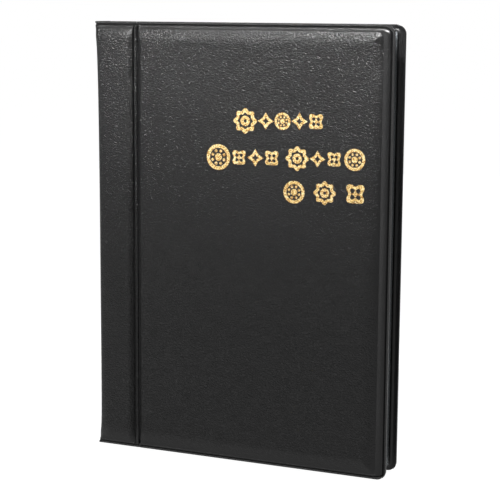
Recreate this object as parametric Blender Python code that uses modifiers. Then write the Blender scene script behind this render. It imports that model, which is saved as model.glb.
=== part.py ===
"""Coin album: a padded vinyl case round a bound block of ten clear pocket pages.

The album stands upright on its lower edge. +Z is up, -Y is the front cover's side, the spine is at -X
and the fore edge at +X. The origin is under the middle of the album, on the surface it stands on.

Three distances describe every piece, in metres:
    across  from the spine edge towards the fore edge
    out     from the middle of the book towards the outside of the front or the back cover
    up      from the lower edge
FRONT and BACK say which way "out" points.
"""

import math

import bmesh
import bpy

# Driving dimensions, in metres
ALBUM_WIDTH = 0.130
ALBUM_HEIGHT = 0.180
FLANGE_OUT = 0.0072          # outer face of the welded border, half the case's thickness there
PANEL_CROWN = 0.0022         # how far a padded cover panel stands out from its border
STRIP_CROWN = 0.0010         # the same for the narrow strip beside the spine
BORDER_WIDTH = 0.0040        # welded border round a panel
CORNER_RADIUS = 0.0038
HINGE_CORNER_RADIUS = 0.0004 # corner of the welded border beside the hinge groove
STRIP_EDGE = 0.0172          # where the strip beside the spine ends at the hinge groove
COVER_EDGE = 0.0200          # where the hinged cover begins
SKIN = 0.00045               # outer vinyl
LINING = 0.00035             # inner vinyl
GAP = 0.0003                 # clearance kept between neighbouring pieces
SPINE_PULL = 0.0014          # how far the spine is drawn in between its two welded ends

PAGE_COUNT = 10
PAGE_PITCH = 0.0009
FILM = 0.00014               # one clear film of a page
FILM_OUT = 0.00029           # outer face of a film from the page's middle plane
MARGIN_THICKNESS = 0.0003
MARGIN_START = 0.0046
PAGE_PIVOT = 0.0205          # line about which a page turns
PAGE_START = 0.0255          # where the flat, pocketed part of a page begins
PAGE_END = 0.1274
PAGE_LOW = 0.0030
PAGE_HIGH = 0.1772
POCKET_COLUMNS = 3
POCKET_ROWS = 4
MOUTH_WIDTH = 0.0270
MOUTH_HEIGHT = 0.0030
MOUTH_DROP = 0.0030          # from the top of a pocket down to its mouth

COVER_PIVOT_ACROSS = 0.0185
COVER_PIVOT_OUT = 0.0091

RIVET_ACROSS = 0.0100
RIVET_HEIGHTS = (0.030, 0.090, 0.150)
RIVET_SHANK = 0.0015
RIVET_HEAD = 0.0034
RIVET_HOLE = 0.0018
RIVET_HEAD_HOLE = 0.0040

# How far the spine skin has swollen to its full section, by height above either welded end
SKIN_SWELL = ((0.0, 0.0), (0.0016, 0.0), (0.0040, 0.7), (0.0080, 1.0))

FRONT = 1
BACK = -1
CORNER_STEPS = 5

COLORS = {
    "outer_vinyl": ((0.022, 0.022, 0.023), 0.55, 0.0),
    "inner_vinyl": ((0.026, 0.026, 0.028), 0.45, 0.0),
    "foam": ((0.75, 0.74, 0.70), 0.95, 0.0),
    "greyboard": ((0.33, 0.31, 0.28), 0.90, 0.0),
    "clear_film": ((0.86, 0.89, 0.90), 0.12, 0.0),
    "rivet_metal": ((0.62, 0.60, 0.55), 0.30, 1.0),
}


def clear_scene():
    """Remove whatever the scene holds."""
    for obj in list(bpy.data.objects):
        bpy.data.objects.remove(obj, do_unlink=True)


def make_collection(name):
    """A new collection, linked to the scene."""
    collection = bpy.data.collections.new(name)
    bpy.context.scene.collection.children.link(collection)
    return collection


def make_material(name):
    """A Principled material from the colour table."""
    color, roughness, metallic = COLORS[name]
    material = bpy.data.materials.new(name)
    material.use_nodes = True
    shader = material.node_tree.nodes["Principled BSDF"]
    shader.inputs["Base Color"].default_value = (*color, 1.0)
    shader.inputs["Roughness"].default_value = roughness
    shader.inputs["Metallic"].default_value = metallic
    return material


def to_x(across):
    """World X of a distance from the spine edge."""
    return across - ALBUM_WIDTH / 2


def make_pivot(name, across, out, side, collection):
    """An empty on a joint's axis, at the foot of the axis."""
    pivot = bpy.data.objects.new(name, None)
    pivot.empty_display_size = 0.01
    pivot.location = (to_x(across), -side * out, 0.0)
    collection.objects.link(pivot)
    return pivot


def finish(obj, material, pivot, collection):
    """Give an object its material, link it, and hang it on its pivot without moving it."""
    obj.data.materials.append(material)
    collection.objects.link(obj)
    if pivot is not None:
        obj.parent = pivot
        obj.location = obj.location - pivot.location
    return obj


def rounded_rectangle(left, right, low, high, radius, left_radius=None, steps=CORNER_STEPS):
    """Points of a rectangle with round corners, counter-clockwise from the lower left."""
    near = radius if left_radius is None else left_radius
    corners = (
        (left + near, low + near, near, 180),
        (right - radius, low + radius, radius, 270),
        (right - radius, high - radius, radius, 0),
        (left + near, high - near, near, 90),
    )
    points = []
    for centre_x, centre_z, bend, start in corners:
        for step in range(steps + 1):
            angle = math.radians(start + 90 * step / steps)
            points.append((centre_x + bend * math.cos(angle), centre_z + bend * math.sin(angle)))
    return points


def rectangle(left, right, low, high):
    """Points of a plain rectangle."""
    return [(left, low), (right, low), (right, high), (left, high)]


def circle(centre_across, centre_up, radius, steps=16):
    """Points of a round hole."""
    turns = [2 * math.pi * step / steps for step in range(steps)]
    return [(centre_across + radius * math.cos(a), centre_up + radius * math.sin(a)) for a in turns]


def outline_curve(name, outlines, half_depth):
    """A filled flat curve from closed outlines; outlines inside the first one are holes."""
    curve = bpy.data.curves.new(name, "CURVE")
    curve.dimensions = "2D"
    curve.fill_mode = "BOTH"
    curve.extrude = half_depth
    for outline in outlines:
        spline = curve.splines.new("POLY")
        spline.points.add(len(outline) - 1)
        for point, (first, second) in zip(spline.points, outline):
            point.co = (first, second, 0.0, 1.0)
        spline.use_cyclic_u = True
    return curve


def make_plate(name, outlines, out_low, out_high, side, material, pivot, collection):
    """A flat sheet parallel to the covers, between two "out" distances."""
    placed = [[(to_x(across), up) for across, up in outline] for outline in outlines]
    curve = outline_curve(name, placed, (out_high - out_low) / 2)
    obj = bpy.data.objects.new(name, curve)
    obj.rotation_euler = (math.pi / 2, 0.0, 0.0)
    obj.location = (0.0, -side * (out_low + out_high) / 2, 0.0)
    return finish(obj, material, pivot, collection)


def make_upright(name, outline, low, high, side, material, pivot, collection):
    """A section given as (across, out) points, drawn straight up."""
    placed = [(to_x(across), -side * out) for across, out in outline]
    curve = outline_curve(name, [placed], (high - low) / 2)
    obj = bpy.data.objects.new(name, curve)
    obj.location = (0.0, 0.0, (low + high) / 2)
    return finish(obj, material, pivot, collection)


def hinge_side_inset(inset):
    """Inset at the hinge side, where the welded border is only a narrow lip."""
    lip = 0.2
    return lip * min(inset, BORDER_WIDTH) + max(0.0, inset - BORDER_WIDTH)


def cover_ring(inset):
    """Outline of a cover, drawn in by an inset from its edge."""
    left = COVER_EDGE + hinge_side_inset(inset)
    left_radius = HINGE_CORNER_RADIUS if inset <= BORDER_WIDTH else CORNER_RADIUS
    return rounded_rectangle(
        to_x(left), to_x(ALBUM_WIDTH - inset), inset, ALBUM_HEIGHT - inset, CORNER_RADIUS, left_radius
    )


def make_cover_layer(name, profile, side, material, pivot, collection):
    """A closed solid lofted through cover outlines; profile holds (inset, out) pairs, centre to centre."""
    mesh_builder = bmesh.new()
    rings = []
    for inset, out in profile:
        rings.append([mesh_builder.verts.new((x, -side * out, z)) for x, z in cover_ring(inset)])
    for ring, following in zip(rings, rings[1:]):
        for index in range(len(ring)):
            after = (index + 1) % len(ring)
            mesh_builder.faces.new((ring[index], ring[after], following[after], following[index]))
    mesh_builder.faces.new(rings[0])
    mesh_builder.faces.new(rings[-1])
    return solid_from(mesh_builder, name, material, pivot, collection)


def solid_from(mesh_builder, name, material, pivot, collection):
    """Turn a closed bmesh into an object with its faces pointing out, its origin on the pivot."""
    bmesh.ops.recalc_face_normals(mesh_builder, faces=mesh_builder.faces)
    if pivot is not None:
        bmesh.ops.translate(mesh_builder, vec=-pivot.location, verts=mesh_builder.verts)
    mesh = bpy.data.meshes.new(name)
    mesh_builder.to_mesh(mesh)
    mesh_builder.free()
    mesh.shade_smooth()
    mesh.set_sharp_from_angle(angle=math.radians(35))
    obj = bpy.data.objects.new(name, mesh)
    if pivot is not None:
        obj.location = pivot.location
    return finish(obj, material, pivot, collection)


def spine_section(spine_across, strip_out, edge_out, shoulder, radius):
    """(across, out) points round the spine, from the front groove to the back groove."""
    half = [(STRIP_EDGE, edge_out), (STRIP_EDGE - shoulder, strip_out)]
    for step in range(CORNER_STEPS + 1):
        angle = math.radians(90 + 90 * step / CORNER_STEPS)
        across = spine_across + radius + radius * math.cos(angle)
        out = strip_out - radius + radius * math.sin(angle)
        half.append((across, out))
    mirrored = [(across, -out) for across, out in reversed(half)]
    return half + mirrored


def make_rivet_cutters(collection):
    """Round cutters for the rivet holes of the spine lining."""
    for label, up in zip(("lower", "middle", "upper"), RIVET_HEIGHTS):
        bpy.ops.mesh.primitive_cylinder_add(
            vertices=16, radius=RIVET_HOLE, depth=2 * FLANGE_OUT,
            location=(to_x(RIVET_ACROSS), 0.0, up), rotation=(math.pi / 2, 0.0, 0.0),
        )
        cutter = bpy.context.object
        cutter.name = f"rivet_cutter_{label}"
        cutter.hide_render = True
        cutter.display_type = "WIRE"
        for owner in list(cutter.users_collection):
            owner.objects.unlink(cutter)
        collection.objects.link(cutter)


def make_spine_layer(name, sections, thickness, material, collection):
    """A vinyl sheet wrapped round the spine; sections holds (up, section points)."""
    mesh_builder = bmesh.new()
    rows = []
    for up, section in sections:
        rows.append([mesh_builder.verts.new((to_x(across), -out, up)) for across, out in section])
    for row, following in zip(rows, rows[1:]):
        for index in range(len(row) - 1):
            mesh_builder.faces.new((row[index], row[index + 1], following[index + 1], following[index]))
    mesh = bpy.data.meshes.new(name)
    mesh_builder.to_mesh(mesh)
    mesh_builder.free()
    mesh.flip_normals()
    mesh.shade_smooth()
    mesh.set_sharp_from_angle(angle=math.radians(35))
    obj = bpy.data.objects.new(name, mesh)
    solidify = obj.modifiers.new("thickness", "SOLIDIFY")
    solidify.thickness = thickness
    solidify.offset = -1.0
    solidify.use_even_offset = True
    return finish(obj, material, None, collection)


def mirrored_heights(levels):
    """Levels given from the lower end as (up, value), repeated from the upper end."""
    return list(levels) + [(ALBUM_HEIGHT - up, value) for up, value in reversed(levels)]


def make_spine_skin(material, collection):
    """Outer sheet: flat at its two welded ends, rounded out on the strips and drawn in at the spine."""
    sections = []
    for up, share in mirrored_heights(SKIN_SWELL):
        section = spine_section(
            spine_across=SPINE_PULL * share,
            strip_out=FLANGE_OUT + STRIP_CROWN * share,
            edge_out=FLANGE_OUT - 0.0002,
            shoulder=0.0010,
            radius=0.0030,
        )
        sections.append((up, section))
    make_spine_layer("spine_skin", sections, SKIN, material, collection)


def make_spine_lining(material, collection, cutters):
    """Inner sheet: welded under the skin at both ends, sunk behind the boards in between."""
    under_skin = SKIN + GAP
    end_out = FLANGE_OUT - under_skin
    levels = [(up, (SPINE_PULL * share + under_skin, end_out, 0.0020))
              for up, share in SKIN_SWELL if up <= BORDER_WIDTH]
    levels.append((BORDER_WIDTH + 0.0008, (0.00365, 0.0048, 0.0008)))
    sections = []
    for up, (spine_across, strip_out, radius) in mirrored_heights(levels):
        section = spine_section(
            spine_across=spine_across,
            strip_out=strip_out,
            edge_out=end_out - 0.0001,
            shoulder=0.0009,
            radius=radius,
        )
        sections.append((up, section))
    lining = make_spine_layer("spine_lining", sections, LINING, material, collection)
    holes = lining.modifiers.new("rivet_holes", "BOOLEAN")
    holes.operation = "DIFFERENCE"
    holes.operand_type = "COLLECTION"
    holes.collection = cutters


def make_spine_boards(materials, collection):
    """The stiffeners of the spine and of the strip on each side of it."""
    board_low = 0.0054
    board_high = ALBUM_HEIGHT - board_low
    spine_outline = [(0.00215, -0.0046), (0.00335, -0.0046), (0.00335, 0.0046), (0.00215, 0.0046)]
    make_upright("spine_board", spine_outline, board_low, board_high, FRONT,
                 materials["greyboard"], None, collection)
    board_holes = [circle(RIVET_ACROSS, up, RIVET_HOLE) for up in RIVET_HEIGHTS]
    foam_holes = [circle(RIVET_ACROSS, up, RIVET_HEAD_HOLE) for up in RIVET_HEIGHTS]
    board = rectangle(0.0040, STRIP_EDGE - 0.0014, board_low, board_high)
    foam = rectangle(0.0053, STRIP_EDGE - 0.0019, 0.0086, ALBUM_HEIGHT - 0.0086)
    for label, side in (("front", FRONT), ("back", BACK)):
        make_plate(f"{label}_strip_board", [board] + board_holes, 0.0051, 0.00645, side,
                   materials["greyboard"], None, collection)
        make_plate(f"{label}_strip_foam", [foam] + foam_holes, 0.00675, 0.00742, side,
                   materials["foam"], None, collection)


def make_rivets(material, collection):
    """Turned rivets through the strip boards and every page margin, headed at both ends."""
    head_inner = 0.00675
    head_rim = 0.00700
    head_top = 0.00730
    half = [(0.0, head_top), (RIVET_HEAD - 0.0006, head_top), (RIVET_HEAD, head_rim),
            (RIVET_HEAD, head_inner), (RIVET_SHANK, head_inner)]
    profile = half + [(radius, -along) for radius, along in reversed(half)]
    for label, up in zip(("lower", "middle", "upper"), RIVET_HEIGHTS):
        name = f"binding_rivet_{label}"
        mesh = bpy.data.meshes.new(name)
        edges = [(index, index + 1) for index in range(len(profile) - 1)]
        mesh.from_pydata([(radius, 0.0, along) for radius, along in profile], edges, [])
        obj = bpy.data.objects.new(name, mesh)
        obj.location = (to_x(RIVET_ACROSS), 0.0, up)
        obj.rotation_euler = (math.pi / 2, 0.0, 0.0)
        screw = obj.modifiers.new("turn", "SCREW")
        screw.steps = 20
        screw.render_steps = 20
        screw.use_merge_vertices = True
        screw.merge_threshold = 0.00002
        screw.use_smooth_shade = False
        finish(obj, material, None, collection)


def make_hinge_webs(material, collection):
    """The welded groove between each strip and its cover, with its raised weld line."""
    left = STRIP_EDGE + GAP
    right = COVER_EDGE - GAP
    weld_left = left + 0.0007
    weld_right = right - 0.0009
    top = FLANGE_OUT - 0.0002
    valley = top - 0.0003
    bottom = top - 0.0008
    groove = [(left, top), (left + 0.0004, valley), (weld_left, top), (weld_right, top),
              (weld_right + 0.0003, valley), (right, top), (right, bottom), (left, bottom)]
    for label, side in (("front", FRONT), ("back", BACK)):
        make_upright(f"{label}_hinge_web", groove, 0.0, ALBUM_HEIGHT, side, material, None, collection)


def make_cover(label, side, materials, collection):
    """One padded cover: skin, foam, board and lining, on an empty at the hinge axis."""
    pivot = make_pivot(f"{label}_cover_pivot", COVER_PIVOT_ACROSS, COVER_PIVOT_OUT, side, collection)
    crown = FLANGE_OUT + PANEL_CROWN
    skin = [
        (0.0120, crown - SKIN), (0.0087, crown - 0.0006), (0.0064, crown - 0.0010),
        (0.0051, crown - 0.00175), (0.0046, FLANGE_OUT - SKIN), (0.0, FLANGE_OUT - SKIN),
        (0.0, FLANGE_OUT), (BORDER_WIDTH, FLANGE_OUT), (0.0046, crown - 0.0014),
        (0.0060, crown - 0.0006), (0.0085, crown - 0.00015), (0.0120, crown),
    ]
    foam = [
        (0.0054, 0.00705), (0.0056, crown - 0.0020), (0.0069, crown - 0.0013),
        (0.0091, crown - 0.00095), (0.0125, crown - SKIN - GAP),
    ]
    board = [(0.0054, 0.00545), (0.0054, 0.00675)]
    lining = [
        (0.0049, 0.0048 + LINING), (0.0045, 0.00645), (0.0, 0.00645),
        (0.0, 0.00610), (0.0041, 0.00610), (0.0045, 0.0048),
    ]
    layers = (
        ("skin", skin, "outer_vinyl"),
        ("foam", foam, "foam"),
        ("board", board, "greyboard"),
        ("lining", lining, "inner_vinyl"),
    )
    for layer, profile, material in layers:
        make_cover_layer(f"{label}_cover_{layer}", profile, side, materials[material], pivot, collection)


def pocket_mouths():
    """Outlines of the slits through which coins go into the pockets of one page."""
    column_width = (PAGE_END - PAGE_START) / POCKET_COLUMNS
    row_height = (PAGE_HIGH - PAGE_LOW) / POCKET_ROWS
    mouths = []
    for column in range(POCKET_COLUMNS):
        middle = PAGE_START + (column + 0.5) * column_width
        for row in range(POCKET_ROWS):
            top = PAGE_LOW + (row + 1) * row_height - MOUTH_DROP
            left = middle - MOUTH_WIDTH / 2
            mouths.append(rectangle(left, left + MOUTH_WIDTH, top - MOUTH_HEIGHT, top))
    return mouths


def make_page(number, materials, collection):
    """One clear page: its bound margin, and a backing and a pocket film that turn together."""
    out = PAGE_PITCH * ((PAGE_COUNT + 1) / 2 - number)
    label = f"page_{number:02d}"
    clear = materials["clear_film"]
    margin = rectangle(MARGIN_START, PAGE_START - GAP, PAGE_LOW, PAGE_HIGH)
    holes = [circle(RIVET_ACROSS, up, RIVET_HOLE, 12) for up in RIVET_HEIGHTS]
    half_margin = MARGIN_THICKNESS / 2
    make_plate(f"{label}_margin", [margin] + holes, out - half_margin, out + half_margin, FRONT,
               clear, None, collection)
    pivot = make_pivot(f"{label}_pivot", PAGE_PIVOT, out, FRONT, collection)
    sheet = rounded_rectangle(PAGE_START, PAGE_END, PAGE_LOW, PAGE_HIGH, 0.0025, steps=3)
    make_plate(f"{label}_backing", [sheet], out - FILM_OUT, out - FILM_OUT + FILM, FRONT,
               clear, pivot, collection)
    make_plate(f"{label}_pockets", [sheet] + pocket_mouths(), out + FILM_OUT - FILM, out + FILM_OUT, FRONT,
               clear, pivot, collection)


def main():
    """Build the whole album."""
    clear_scene()
    album = make_collection("coin_album")
    materials = {name: make_material(name) for name in COLORS}
    make_spine_skin(materials["outer_vinyl"], album)
    cutters = make_collection("cutters")
    make_rivet_cutters(cutters)
    make_spine_lining(materials["inner_vinyl"], album, cutters)
    make_spine_boards(materials, album)
    make_rivets(materials["rivet_metal"], album)
    make_hinge_webs(materials["outer_vinyl"], album)
    make_cover("front", FRONT, materials, album)
    make_cover("back", BACK, materials, album)
    for number in range(1, PAGE_COUNT + 1):
        make_page(number, materials, album)


main()
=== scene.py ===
import math

import bmesh
import bpy
import numpy as np
from mathutils import Matrix, Vector


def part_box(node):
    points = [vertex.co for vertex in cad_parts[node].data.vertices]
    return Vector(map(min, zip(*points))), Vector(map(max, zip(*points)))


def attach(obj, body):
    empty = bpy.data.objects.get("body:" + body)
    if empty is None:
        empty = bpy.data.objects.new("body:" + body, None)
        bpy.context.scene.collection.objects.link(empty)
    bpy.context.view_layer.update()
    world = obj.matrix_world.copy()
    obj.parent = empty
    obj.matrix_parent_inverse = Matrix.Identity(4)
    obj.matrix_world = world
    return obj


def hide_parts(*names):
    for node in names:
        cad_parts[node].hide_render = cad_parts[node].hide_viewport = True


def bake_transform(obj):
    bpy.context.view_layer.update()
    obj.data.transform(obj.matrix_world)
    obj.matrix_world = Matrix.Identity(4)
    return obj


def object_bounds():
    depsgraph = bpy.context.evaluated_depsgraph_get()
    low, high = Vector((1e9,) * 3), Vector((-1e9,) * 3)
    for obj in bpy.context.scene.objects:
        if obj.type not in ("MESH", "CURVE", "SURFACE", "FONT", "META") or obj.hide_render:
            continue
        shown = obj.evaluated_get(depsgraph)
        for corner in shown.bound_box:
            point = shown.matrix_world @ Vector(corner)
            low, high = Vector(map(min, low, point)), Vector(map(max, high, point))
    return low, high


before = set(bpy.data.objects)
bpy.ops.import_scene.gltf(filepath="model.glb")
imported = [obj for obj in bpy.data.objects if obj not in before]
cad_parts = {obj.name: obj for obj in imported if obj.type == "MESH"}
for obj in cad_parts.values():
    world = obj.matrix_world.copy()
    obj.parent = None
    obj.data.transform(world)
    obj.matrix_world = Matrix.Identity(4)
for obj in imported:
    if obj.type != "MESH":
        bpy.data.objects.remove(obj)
CAD_LOW, CAD_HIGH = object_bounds()

# ------------------------------------------------------------
# The album in its own terms. "across" runs from the spine edge to the fore edge, "up" from the
# lower edge, and "out" from the middle of the book towards the outside of a cover, all in metres.
# ------------------------------------------------------------
MM = 0.001
WIDTH = CAD_HIGH.x - CAD_LOW.x
HEIGHT = CAD_HIGH.z
PANEL_OUT = -CAD_LOW.y
FLANGE_INNER_OUT = -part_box("front_cover_skin")[1].y
WEB_LOW, WEB_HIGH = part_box("front_hinge_web")
GROOVE_LEFT = WEB_LOW.x - CAD_LOW.x
GROOVE_RIGHT = WEB_HIGH.x - CAD_LOW.x
STRIP_OUT = -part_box("spine_skin")[0].y
FLANGE_OUT = FLANGE_INNER_OUT + 0.45 * MM
LINING_FLANGE_OUT = 6.10 * MM
LINING_PANEL_OUT = -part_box("front_cover_lining")[1].y
LINING_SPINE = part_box("page_01_margin")[0].x - CAD_LOW.x - 0.6 * MM
LINING_STRIP_OUT = 4.45 * MM

SKIN_THICKNESS = 0.60 * MM
LINING_THICKNESS = 0.45 * MM
BORDER = 2.9 * MM            # welded border, from the case's top or bottom edge to the padded panel
FORE_BORDER = 4.3 * MM       # the same along the fore edge, where it is wider
LOWER_BORDER = 1.9 * MM      # and along the lower edge, where the padding sags over it
WELD_LINE = 1.00 * MM        # the pressed line, measured from the case's edge
BEAD_HEIGHT = 0.40 * MM      # the band between the line and the panel rises this much
CORNER_RADIUS = 3.8 * MM
PANEL_RADIUS = 2.6 * MM
PANEL_ROLL = 6.2 * MM        # how far in the panel's edge keeps rising
HINGE_STEEPNESS = 2.4        # how many times steeper the panel rises beside the groove
STRIP_ROLL = 4.4 * MM
STRIP_SWELL = 0.8 * MM       # the padded strip swells past its CAD layer
SPINE_RADIUS = 3.0 * MM
SPINE_END_RADIUS = 1.6 * MM

CASE_GIRTH = WIDTH + 5.9 * MM  # from the middle of the spine, round its corner, to the fore edge
LINING_BORDER = 4.2 * MM     # the lining is flat this far in from the case's edges
SHARP_EDGE = math.radians(50)

FRONT = 1
BACK = -1
SKIN_SEEDS = {FRONT: 11, BACK: 23}
PAGE_COUNT = 10

# Strengths of light: of surfaces as emission, of lamps in watts
ROOM_LIGHT = 0.12
FLOOR_SEEN = 0.97            # the floor as the camera sees it
FLOOR_LIGHT = 0.60           # the floor far from the album, as the album sees it
FLOOR_SHADE = 0.46           # and close to it
FLOOR_DARK_SIDE = 0.35       # share of that light left on the fore edge's side
FRONT_KEY = 0.20
BACK_KEY = 0.3
FRONT_FILL = 4.0
BACK_FILL = 2.0
TOP_FILL = 1.8


def to_x(across):
    """World X of a distance across the album."""
    return CAD_LOW.x + across


# ------------------------------------------------------------
# Node helpers
# ------------------------------------------------------------
class Shader:
    """A material under construction: a Principled shader and the nodes that feed it."""

    def __init__(self, name):
        self.material = bpy.data.materials.new(name)
        self.material.use_nodes = True
        self.tree = self.material.node_tree
        self.surface = self.tree.nodes["Principled BSDF"]

    def node(self, kind, **settings):
        """A new node; settings that name a socket set its value, the others a property."""
        made = self.tree.nodes.new(kind)
        for key, value in settings.items():
            if hasattr(made, key):
                setattr(made, key, value)
            else:
                made.inputs[key.replace("_", " ")].default_value = value
        return made

    def link(self, source, target):
        """Join two sockets."""
        self.tree.links.new(source, target)

    def set(self, **values):
        """Set constant values on the Principled shader; underscores stand for spaces."""
        for key, value in values.items():
            self.surface.inputs[key.replace("_", " ")].default_value = value

    def math(self, operation, first, second=0.0, clamp=False):
        """A maths node on sockets or numbers; gives its output socket."""
        made = self.node("ShaderNodeMath", operation=operation, use_clamp=clamp)
        for index, value in enumerate((first, second)):
            if isinstance(value, (int, float)):
                made.inputs[index].default_value = value
            else:
                self.link(value, made.inputs[index])
        return made.outputs[0]

    def total(self, *parts):
        """The sum of values, each given with its weight."""
        first, *others = [self.math("MULTIPLY", value, weight) for value, weight in parts]
        for other in others:
            first = self.math("ADD", first, other)
        return first

    def flat_coordinates(self, scale=(1.0, 1.0, 1.0)):
        """The piece's unrolled coordinates, in millimetres, times a scale."""
        source = self.node("ShaderNodeUVMap", uv_map="flat")
        mapping = self.node("ShaderNodeMapping")
        mapping.inputs["Scale"].default_value = scale
        self.link(source.outputs["UV"], mapping.inputs["Vector"])
        return mapping.outputs["Vector"]

    def object_coordinates(self, scale=(1.0, 1.0, 1.0)):
        """The piece's own coordinates, in millimetres, times a scale."""
        source = self.node("ShaderNodeTexCoord")
        mapping = self.node("ShaderNodeMapping")
        mapping.inputs["Scale"].default_value = [value / MM for value in scale]
        self.link(source.outputs["Object"], mapping.inputs["Vector"])
        return mapping.outputs["Vector"]

    def noise(self, vector, scale, detail=2.0, roughness=0.5):
        """A noise texture's value."""
        made = self.node("ShaderNodeTexNoise", Scale=scale, Detail=detail, Roughness=roughness)
        self.link(vector, made.inputs["Vector"])
        return made.outputs["Fac"]

    def voronoi(self, vector, scale, feature="F1", randomness=1.0):
        """A cell texture's distance."""
        made = self.node("ShaderNodeTexVoronoi", feature=feature, Scale=scale, Randomness=randomness)
        self.link(vector, made.inputs["Vector"])
        return made.outputs["Distance"]

    def remap(self, value, low, high, to_low, to_high):
        """A value moved linearly from one range to another, and kept within it."""
        made = self.node("ShaderNodeMapRange")
        made.inputs["From Min"].default_value = low
        made.inputs["From Max"].default_value = high
        made.inputs["To Min"].default_value = to_low
        made.inputs["To Max"].default_value = to_high
        self.link(value, made.inputs["Value"])
        return made.outputs["Result"]

    def ramp(self, value, *stops):
        """A colour ramp; each stop is (position, (r, g, b))."""
        made = self.node("ShaderNodeValToRGB")
        elements = made.color_ramp.elements
        while len(elements) < len(stops):
            elements.new(0.5)
        for element, (position, color) in zip(elements, stops):
            element.position = position
            element.color = (*color, 1.0)
        self.link(value, made.inputs["Fac"])
        return made.outputs["Color"]

    def feed(self, socket_name, value):
        """Link a value to one of the Principled shader's sockets."""
        self.link(value, self.surface.inputs[socket_name])

    def bump(self, height, distance, strength=1.0):
        """Raise the surface by a height map; distance is in metres."""
        made = self.node("ShaderNodeBump", Distance=distance, Strength=strength)
        self.link(height, made.inputs["Height"])
        before = self.surface.inputs["Normal"].links
        if before:
            self.link(before[0].from_socket, made.inputs["Normal"])
        self.link(made.outputs["Normal"], self.surface.inputs["Normal"])


# ------------------------------------------------------------
# Materials
# ------------------------------------------------------------
BLACK_SKIN = (0.009, 0.009, 0.0092)
BLACK_LINING = (0.010, 0.010, 0.0105)
# painted highlight: the lighter grey of the cut lip at the case's ends
LIP_HIGHLIGHT = (0.020, 0.020, 0.0205)
GOLD, DEEP_GOLD = (0.88, 0.58, 0.17), (0.34, 0.14, 0.03)
# painted shade: colours of the darker rim round the gold, where the stamp pressed it in
RIM_SHADE, DEEP_RIM_SHADE = (0.55, 0.27, 0.08), (0.22, 0.09, 0.02)
# painted glint: near-white spots in the foil's colour
GOLD_GLINT = (1.0, 0.88, 0.52)
SKIN_GRAIN = 0.27 * MM       # depth of the leather grain
LINING_GRAIN = 0.06 * MM
EDGE_GRAIN = 0.22            # share of the grain left on the rolled edges


def warped(shader, vector, scale, amount):
    """Coordinates pushed about by noise, so that cells and creases lose their regularity."""
    noise = shader.node("ShaderNodeTexNoise", Scale=scale, Detail=2.0)
    shader.link(vector, noise.inputs["Vector"])
    centred = shader.node("ShaderNodeVectorMath", operation="SUBTRACT")
    centred.inputs[1].default_value = (0.5, 0.5, 0.5)
    shader.link(noise.outputs["Color"], centred.inputs[0])
    scaled = shader.node("ShaderNodeVectorMath", operation="SCALE")
    scaled.inputs["Scale"].default_value = amount
    shader.link(centred.outputs["Vector"], scaled.inputs[0])
    added = shader.node("ShaderNodeVectorMath", operation="ADD")
    shader.link(vector, added.inputs[0])
    shader.link(scaled.outputs["Vector"], added.inputs[1])
    return added.outputs["Vector"]


def edge_distances(shader):
    """Distances in millimetres from the case's nearer end and from its fore edge."""
    parts = shader.node("ShaderNodeSeparateXYZ")
    shader.link(shader.flat_coordinates(), parts.inputs["Vector"])
    up = parts.outputs["Y"]
    from_end = shader.math("MINIMUM", up, shader.math("SUBTRACT", HEIGHT / MM, up))
    from_fore = shader.math("SUBTRACT", CASE_GIRTH / MM, shader.math("ABSOLUTE", parts.outputs["X"]))
    return from_end, from_fore


def edge_fade(shader):
    """From a little at the case's edges to 1 inside: the grain is stretched flat over the rolls."""
    from_end, from_fore = edge_distances(shader)
    ends = shader.remap(from_end, 3.0, 8.5, EDGE_GRAIN, 1.0)
    return shader.math("MULTIPLY", ends, shader.remap(from_fore, 4.0, 9.0, EDGE_GRAIN, 1.0))


def lip_with_painted_highlight(shader, color):
    """The colour, turned greyer on the cut lip outside the welded line of the two ends: a painted highlight,
    in noisy patches.
    """
    from_end, _ = edge_distances(shader)
    # painted highlight on the cut lip, broken into patches by noise
    outside_line = shader.remap(from_end, 0.6, 0.95, 1.0, 0.0)
    lip_patches = shader.remap(shader.noise(shader.flat_coordinates(), 0.35, 3.0, 0.6), 0.35, 0.6, 0.3, 1.0)
    lip = shader.math("MULTIPLY", outside_line, lip_patches)
    mix = shader.node("ShaderNodeMix", data_type="RGBA")
    shader.link(lip, mix.inputs["Factor"])
    shader.link(color, mix.inputs[6])
    mix.inputs[7].default_value = (*LIP_HIGHLIGHT, 1.0)
    return mix.outputs[2]


def embossed_cells(shader, width, height, warp_scale, warp, edge_width):
    """Flat-topped cells of a size in millimetres, from 0 in the creases between them to 1 on top."""
    cells = warped(shader, shader.flat_coordinates((1 / width, 1 / height, 1.0)), warp_scale, warp)
    return shader.remap(shader.voronoi(cells, 1.0, "DISTANCE_TO_EDGE"), 0.0, edge_width, 0.0, 1.0)


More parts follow.
